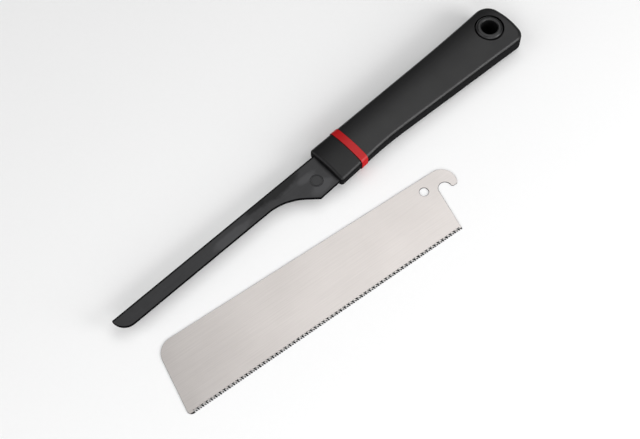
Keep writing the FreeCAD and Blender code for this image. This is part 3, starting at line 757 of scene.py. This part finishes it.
    def outline(self) -> tuple[list[Vector], list[bool]]:
        """The plate's outline without its teeth, anticlockwise, and which runs are their roots.

        Returns:
            The points, and for each run from a point to the next whether a tooth stands on it.
        """
        heel, tip = self.heel(), self.tip()
        tip_back = Vector((self.tip_u, -self.back))
        hook_low = Vector((self.hook_u, -self.back))
        last_tooth = self.along(self.pitch * self.gullets() - self.widening(), 0)
        points = self.corner(hook_low, tip_back, tip, self.tip_back_radius)
        points += self.corner(tip_back, tip, last_tooth, self.tip_tooth_radius)
        points.append(last_tooth)
        root_starts = []
        for number in reversed(range(self.gullets())):
            middle = self.apex() + self.pitch * number
            points += [self.along(middle + self.gullet_floor / 2, self.depth),
                       self.along(middle - self.gullet_floor / 2, self.depth)]
            if number:
                root_starts.append(len(points) - 1)
        points += [self.along(self.pitch - self.mouth + self.widening(), 0), heel]
        points += self.hook_edge()
        roots = [False] * len(points)
        for number in root_starts:
            roots[number] = True
        return points, roots

    def placed(self, plan: Vector, height: float) -> Vector:
        """Turn a place of the plan into one of the row's frame.

        Args:
            plan: the place in the plan.
            height: how high it is over the floor.

        Returns:
            The place in metres.
        """
        turn = math.radians(self.turn)
        x = self.hole_x + plan.x * math.cos(turn) - plan.y * math.sin(turn)
        y = self.hole_y + plan.x * math.sin(turn) + plan.y * math.cos(turn)
        return Vector((x * MM, y * MM, FLOOR_Z + height * MM))

    def ease(self, point: Vector) -> float:
        """Find how far the edge is eased at a point.

        Args:
            point: a point of the outline or of the hole.

        Returns:
            The width of the eased edge there.
        """
        # The hole and the throat get the wider chamfer, which is dressed dark as painted shade.
        throat = (point - Vector((self.throat_u, self.throat_v))).length
        in_painted_shade = (point.length < 2 * self.hole_radius
                   or throat < self.throat_radius + self.eased_edge)
        return self.painted_shade_edge if in_painted_shade else self.eased_edge

    def wall(self, form: BMesh, loop: list[Vector],
             roots: list[bool]) -> tuple[list[BMVert], list[BMVert]]:
        """Build the plate's eased wall along a loop, open where teeth stand.

        Args:
            form: the mesh that gets the wall.
            loop: the loop's points, with the plate on their left.
            roots: for each run from a point to the next whether a tooth stands on it.

        Returns:
            The wall's upper rim and its lower rim, drawn in by the eased edge.
        """
        rim = []
        for number, point in enumerate(loop):
            if roots[number] or roots[number - 1]:
                rim.append(point.copy())
                continue
            before, after = loop[number - 1], loop[(number + 1) % len(loop)]
            run_in, run_out = (point - before).normalized(), (after - point).normalized()
            left = Vector((-run_in.y - run_out.y, run_in.x + run_out.x)).normalized()
            share = max(self.least_share, left.dot(Vector((-run_in.y, run_in.x))))
            rim.append(point + left * (self.ease(point) / share))
        eases = [self.ease(point) for point in loop]
        rings = [[form.verts.new(self.placed(point, height))
                  for point, height in zip(ring, heights)]
                 for ring, heights in ((rim, [self.thickness] * len(loop)),
                                       (loop, [self.thickness - ease for ease in eases]),
                                       (loop, eases), (rim, [0.0] * len(loop)))]
        for number in range(len(loop)):
            if roots[number]:
                continue
            following = (number + 1) % len(loop)
            between_teeth = roots[number - 1] and roots[following]
            for upper, lower in ([(rings[0], rings[3])] if between_teeth
                                 else zip(rings, rings[1:])):
                form.faces.new([upper[number], lower[number], lower[following],
                                upper[following]])
        return rings[0], rings[3]

    def plate(self) -> Mesh:
        """Build the plate with its hole, its edges eased, and open where the teeth stand.

        Returns:
            The mesh, with its dark faces marked.
        """
        outer, roots = self.outline()
        hole = self.arc(Vector((0.0, 0.0)), self.hole_radius, 360, 0)[:-1]
        form = bmesh.new()
        walls = [self.wall(form, outer, roots), self.wall(form, hole, [False] * len(hole))]
        for loops in zip(*walls):
            flat = [vert for loop in loops for vert in loop]
            for triangle in tessellate_polygon([[vert.co for vert in loop] for loop in loops]):
                form.faces.new([flat[number] for number in triangle])
        bmesh.ops.remove_doubles(form, verts=form.verts, dist=WELD)
        bmesh.ops.delete(form, geom=[vert for vert in form.verts if not vert.link_faces],
                         context="VERTS")
        bmesh.ops.recalc_face_normals(form, faces=form.faces)
        mesh = bpy.data.meshes.new("blade_plate")
        form.to_mesh(mesh)
        form.free()
        self.mark_dark(mesh, [abs(face.normal.z) < self.upright for face in mesh.polygons])
        return mesh

    def mark_dark(self, mesh: Mesh, dark: list[bool]) -> None:
        """Note on a mesh which of its faces are dressed dark: the hardened teeth, and the plate's
        edges as painted shade.
        """
        layer = mesh.attributes.new(self.dark_mark, "BOOLEAN", "FACE")
        layer.data.foreach_set("value", dark)

    def tooth(self, grind: Grind) -> Object:
        """Build one tooth on its root, in metres: X along the tooth line, Y outwards, Z up.

        Args:
            grind: the face that its bevels are ground on.

        Returns:
            An object to repeat along the tooth line.
        """
        near = self.pitch - self.apex() - self.widening()
        far = near + self.tip_land
        left, right = self.gullet_floor / 2, self.pitch - self.gullet_floor / 2
        high, low = self.thickness, 0.0
        if grind is Grind.LOWER:
            high, low = low, high
        low_tips = [(far, self.depth - self.tip_slant), (near, self.depth)]
        high_tips = [(far - self.flank, self.depth - self.tip_slant - self.point),
                     (near + self.flank, self.depth - self.point)]
        # The strip at the root, where the grinding wheel has run out, is a face of its own.
        share = self.bright_root / (self.depth - self.point)
        strip = [(root + (tip[0] - root) * share, tip[1] * share)
                 for root, tip in zip((right, left), high_tips)]
        spots = [(left, 0, low), (right, 0, low), *((x, y, low) for x, y in low_tips),
                 (left, 0, high), (right, 0, high), *((x, y, high) for x, y in strip),
                 *((x, y, high) for x, y in high_tips)]
        form = bmesh.new()
        verts = [form.verts.new(Vector(spot) * MM) for spot in spots]
        for numbers in ((0, 1, 2, 3), (4, 5, 6, 7), (7, 6, 8, 9), (1, 2, 8, 6, 5), (2, 3, 9, 8),
                        (3, 0, 4, 7, 9)):
            form.faces.new([verts[number] for number in numbers])
        bmesh.ops.recalc_face_normals(form, faces=form.faces)
        mesh = bpy.data.meshes.new("tooth_" + grind.value)
        form.to_mesh(mesh)
        form.free()
        # One face stays bright: the unground flat where that is on top, or else the root strip.
        bright = 0 if grind is Grind.LOWER else 1
        self.mark_dark(mesh, [number != bright for number in range(len(mesh.polygons))])
        return new_object("tooth_" + grind.value, mesh)

    def tooth_tree(self) -> NodeTree:
        """Build the Geometry Nodes that set the teeth, ground by turns above and below.

        Returns:
            The tree, which takes the plate and gives the blade. It has nothing random in it.
        """
        tree = bpy.data.node_groups.new("tooth_row", "GeometryNodeTree")
        kinds = {"Plate": "Geometry", "Upper tooth": "Object", "Lower tooth": "Object",
                 "Pitch": "Float", "Teeth": "Int", "Start": "Vector", "Turn": "Vector",
                 "Weld": "Float", "Steel": "Material", "Dark steel": "Material"}
        for name, kind in kinds.items():
            tree.interface.new_socket(name, in_out="INPUT", socket_type="NodeSocket" + kind)
        tree.interface.new_socket("Blade", in_out="OUTPUT", socket_type="NodeSocketGeometry")
        given = add_node(tree, "NodeGroupInput").outputs
        offset = add_node(tree, "ShaderNodeCombineXYZ", links={"X": given["Pitch"]})
        line = add_node(tree, "GeometryNodeMeshLine", {"mode": "OFFSET"},
                        {"Count": given["Teeth"], "Offset": offset})
        number = add_node(tree, "GeometryNodeInputIndex")
        odd = add_node(tree, "ShaderNodeMath", {"operation": "MODULO", 1: 2.0}, {0: number})
        even = add_node(tree, "ShaderNodeMath", {"operation": "SUBTRACT", 0: 1.0}, {1: odd})
        rows = []
        for tooth, chosen in (("Upper tooth", even), ("Lower tooth", odd)):
            shape = add_node(tree, "GeometryNodeObjectInfo", {"transform_space": "ORIGINAL"},
                             {"Object": given[tooth]})
            rows.append(add_node(tree, "GeometryNodeInstanceOnPoints",
                                 links={"Points": line, "Selection": chosen,
                                        "Instance": shape.outputs["Geometry"]}))
        teeth = add_node(tree, "GeometryNodeJoinGeometry")
        for row in rows:
            tree.links.new(row.outputs["Instances"], teeth.inputs["Geometry"])
        set_down = add_node(tree, "GeometryNodeTransform",
                            links={"Geometry": teeth, "Translation": given["Start"],
                                   "Rotation": given["Turn"]})
        whole = add_node(tree, "GeometryNodeJoinGeometry", links={"Geometry": set_down})
        tree.links.new(given["Plate"], whole.inputs["Geometry"])
        mark = add_node(tree, "GeometryNodeInputNamedAttribute",
                        {"data_type": "BOOLEAN", "Name": self.dark_mark})
        flow = whole
        for kind, links in (("GeometryNodeRealizeInstances", {}),
                            ("GeometryNodeMergeByDistance", {"Distance": given["Weld"]}),
                            ("GeometryNodeSetMaterial", {"Material": given["Steel"]}),
                            ("GeometryNodeSetMaterial", {"Selection": mark.outputs["Attribute"],
                                                         "Material": given["Dark steel"]})):
            flow = add_node(tree, kind, links={"Geometry": flow, **links})
        add_node(tree, "NodeGroupOutput", links={"Blade": flow})
        return tree

    def finish(self) -> GroundSteel:
        """Choose the blade's steel, whose grinding follows the tooth line.

        Returns:
            The finish.
        """
        corner = self.placed(self.heel(), 0)
        # Ground carbon steel: a warm pale grey with faint lines along the blade, which turns
        # brown-black towards the points of the teeth.
        return GroundSteel("ground_carbon_steel", "#bab5b2", "#c6c1be", 0.34,
                           turn=self.turn + self.tooth_slope, corner=(corner.x, corner.y))

    def build(self) -> None:
        """Make the blade and put it on its body."""
        piece = new_object("blade_toothed", self.plate())
        teeth = {grind: self.tooth(grind) for grind in Grind}
        tree = self.tooth_tree()
        modifier = piece.modifiers.new("teeth", "NODES")
        modifier.node_group = tree
        turn = math.radians(self.turn + self.tooth_slope)
        values = {"Upper tooth": teeth[Grind.UPPER], "Lower tooth": teeth[Grind.LOWER],
                  "Pitch": self.pitch * MM, "Teeth": self.gullets() - 1,
                  "Start": tuple(self.placed(self.along(self.apex(), self.depth), 0)),
                  "Turn": (0.0, 0.0, turn), "Weld": TOOTH_WELD, "Steel": self.finish().material(),
                  "Dark steel": DARK_EDGE_AND_SHADE.material()}
        for item in tree.interface.items_tree:
            if item.name in values:
                modifier[item.identifier] = values[item.name]
        settle(piece)
        for tooth in teeth.values():
            bpy.data.objects.remove(tooth)
        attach(piece, Body.BLADE.value)
        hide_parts("blade")
        report(piece)


# ---------------------------------------------------------------- saw

@dataclass
class Handle:
    """The moulded handle: collar, band, grip and hanging eyelet, over its core.

    upright is the share of the normal that points up or down, under which a face is a side wall,
    and rim_tilt the share that points along the handle, over which a face of the band is a rim.
    """

    eased_edge: float = 0.15
    band_edge: float = 0.3
    upright: float = 0.42
    rim_tilt: float = 0.3

    def darken_rims(self, band: Object) -> None:
        """Dress the rims of the band, which lie in the joints to collar and grip, in dark red as
        painted shade.

        Args:
            band: the band, already dressed by tilt.
        """
        band.data.materials.append(RED_RIM_SHADE.material())
        rim = len(band.data.materials) - 1
        for face in band.data.polygons:
            if abs(face.normal.x) > self.rim_tilt:
                face.material_index = rim

    def build(self) -> None:
        """Ease the handle's visible mouldings, and dress all of its parts."""
        wall = MOULD_WALL_AND_SHADE.material()
        collar, grip = BLACK_COLLAR.material(), BLACK_GRIP.material()
        for node, name, slot, faces, walls in (
                ("front_collar", "collar_moulding", "collar_plastic", collar, wall),
                ("red_band", "band_moulding", "band_plastic", RED_BAND.material(),
                 RED_WALL.material()),
                ("grip_sleeve", "grip_moulding", "grip_plastic", grip, wall),
                # The eyelet's bore and groove take the wall finish as painted shade.
                ("hanger_eyelet", "eyelet_moulding", "eyelet_plastic", GREY_EYELET.material(),
                 wall)):
            band = node == "red_band"
            piece = eased_copy(node, name, self.band_edge if band else self.eased_edge)
            dress_by_tilt(piece, faces, walls, self.upright)
            if band:
                self.darken_rims(piece)
            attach(piece, Body.SAW.value)
            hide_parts(node)
            report(piece)
        for node in ("core_upper", "core_lower"):
            dress(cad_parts[node], collar)
            report(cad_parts[node])


@dataclass
class Spine:
    """The folded steel spine with its studs, pin, spacer and rivets.

    upright is the share of the normal that points up or down, under which a face is dressed as an
    edge, and slot_half reaches past half the slot's width but not to the strip's outer faces; the
    faces within it are dressed near black as painted shade.
    """

    eased_edge: float = 0.22
    upright: float = 0.95
    slot_half: float = 0.5

    def build(self) -> None:
        """Ease the strip's edges, darken them, paint shade into its slot, and dress the steel
        parts.
        """
        strip = eased_copy("spine", "spine_strip", self.eased_edge)
        dress_by_tilt(strip, BLACK_SPINE.material(), SHEARED_EDGE_AND_SHADE.material(), self.upright)
        edge = len(strip.data.materials) - 1
        # The inside of the slot takes the edges' near black as painted shade.
        for face in strip.data.polygons:
            if abs(face.center.z) < self.slot_half * MM:
                face.material_index = edge
        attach(strip, Body.SAW.value)
        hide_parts("spine")
        report(strip)
        black = BLACK_STEEL.material()
        for node in ("lock_stud_upper", "lock_stud_lower", "hook_pin", "tang_spacer",
                     "tang_rivet_front", "tang_rivet_rear"):
            dress(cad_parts[node], black)
            report(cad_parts[node])


# ---------------------------------------------------------------- studio

@dataclass(frozen=True)
class SoftBox:
    """A studio lamp, by the direction and distance in metres in which it hangs, and its size."""

    name: str
    toward: tuple[float, float, float]
    distance: float
    size: tuple[float, float]
    radiance: float

    def hang(self, middle: Vector) -> None:
        """Put the lamp up.

        Args:
            middle: the place in metres that it faces.
        """
        lamp = bpy.data.lights.new(self.name, "AREA")
        lamp.shape = "RECTANGLE"
        lamp.size, lamp.size_y = self.size
        lamp.energy = self.radiance * LAMP_WATTS * self.size[0] * self.size[1]
        holder = new_object(self.name, lamp)
        direction = Vector(self.toward).normalized()
        holder.location = middle + direction * self.distance
        holder.rotation_mode = "QUATERNION"
        holder.rotation_quaternion = direction.to_track_quat("Z", "Y")


# Soft daylight as in the photograph: a broad lamp overhead, a key from the tooth side, one that
# draws the highlight along the grip's near edge, and a weak fill.
LAMPS = (SoftBox("overhead", (-0.31, 0.05, 0.9), 1.4, (1.8, 0.95), 1.38),
         SoftBox("key", (-0.43, 0.82, 0.38), 1.0, (0.5, 0.5), 5.8),
         SoftBox("side", (0.5, 0.75, 0.45), 1.2, (1.0, 0.8), 2.4),
         SoftBox("fill", (0.8, -0.28, 0.62), 1.5, (1.4, 1.4), 1.15))


@dataclass
class Studio:
    """A pale table, soft lamps and the camera at the photograph's angle.

    middle and the table's size are in metres, and the camera's eye and target in millimetres.
    """

    middle: Vector
    table_size: float = 6.0
    room_light: float = 0.1
    eye: tuple[float, float, float] = (401.2, 281.3, 702.1)
    target: tuple[float, float, float] = (152.53, 17.65, -8.45)
    lens: float = 80.65
    sensor: float = 36.0

    def table(self) -> None:
        """Lay the table that the saw and its blade lie on."""
        half = self.table_size / 2
        corners = [(self.middle.x + x * half, self.middle.y + y * half, FLOOR_Z)
                   for x, y in ((-1, -1), (1, -1), (1, 1), (-1, 1))]
        mesh = bpy.data.meshes.new("table")
        mesh.from_pydata(corners, [], [(0, 1, 2, 3)])
        table = new_object("table", mesh)
        dress(table, PAPER.material())

    def light(self) -> None:
        """Hang the lamps and set the room's own light."""
        for lamp in LAMPS:
            lamp.hang(self.middle)
        world = bpy.data.worlds.new("room")
        world.use_nodes = True
        background = world.node_tree.nodes["Background"]
        background.inputs["Color"].default_value = (1, 1, 1, 1)
        background.inputs["Strength"].default_value = self.room_light
        bpy.context.scene.world = world

    def camera(self) -> None:
        """Set the camera up where the photograph was taken from."""
        data = bpy.data.cameras.new("camera")
        data.sensor_fit = "HORIZONTAL"
        data.sensor_width = self.sensor
        data.lens = self.lens
        data.clip_start, data.clip_end = 0.01, 20
        holder = new_object("camera", data)
        holder.location = Vector(self.eye) * MM
        holder.rotation_mode = "QUATERNION"
        look = (Vector(self.target) - Vector(self.eye)).normalized()
        holder.rotation_quaternion = look.to_track_quat("-Z", "Y")
        bpy.context.scene.camera = holder

    def build(self) -> None:
        """Set the whole studio up."""
        self.camera()
        self.table()
        self.light()
        bpy.context.scene.view_settings.view_transform = "Standard"


def main() -> None:
    """Build the studio, the saw and its blade."""
    logging.basicConfig(level=logging.INFO, format="%(message)s")
    low, high = CAD_BOX
    Studio(middle=(low + high) / 2).build()
    Handle().build()
    Spine().build()
    Blade().build()


if __name__ == "__main__":
    main()
